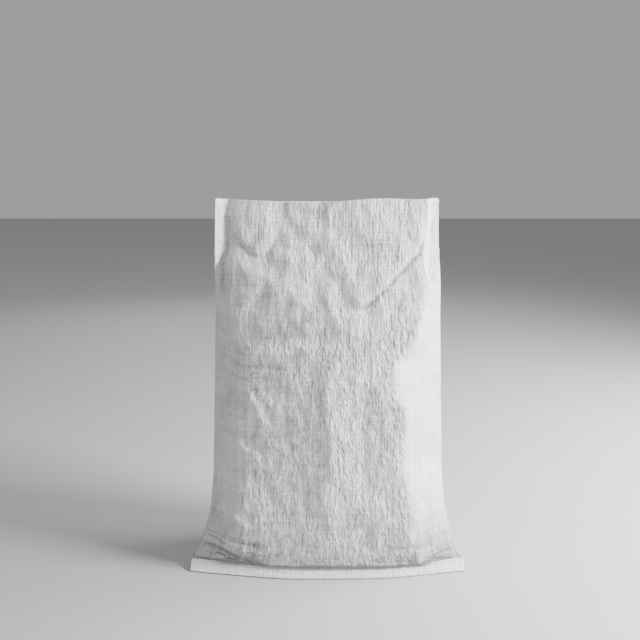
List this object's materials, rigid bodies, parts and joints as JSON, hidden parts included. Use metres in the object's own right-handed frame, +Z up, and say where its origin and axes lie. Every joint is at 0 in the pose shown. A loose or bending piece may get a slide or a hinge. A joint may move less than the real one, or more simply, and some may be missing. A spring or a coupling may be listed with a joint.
{
  "type": "cement bag",
  "caption": "Open white woven polypropylene sack standing on its folded, chain-stitched hem, filled with cement powder to below its turned-in mouth.",
  "frame": {"origin": "on the floor, on the flat underside, below the middle of the standing body", "axes": "+Z up along the standing sack, +X to the right across its width, the front with the sewn hem towards -Y"},
  "size_m": [0.55, 0.2077, 0.735],
  "materials": {
    "woven_cloth": "white woven polypropylene tape cloth with a low sheen",
    "sewing_thread": "matte white multifilament thread",
    "cement_powder": "loose grey powder, fully matte"
  },
  "bodies": {
    "root": {"sack": "woven_cloth", "cement_fill": "cement_powder", "needle_thread": "sewing_thread", "looper_thread": "sewing_thread"}
  },
  "joints": []
}
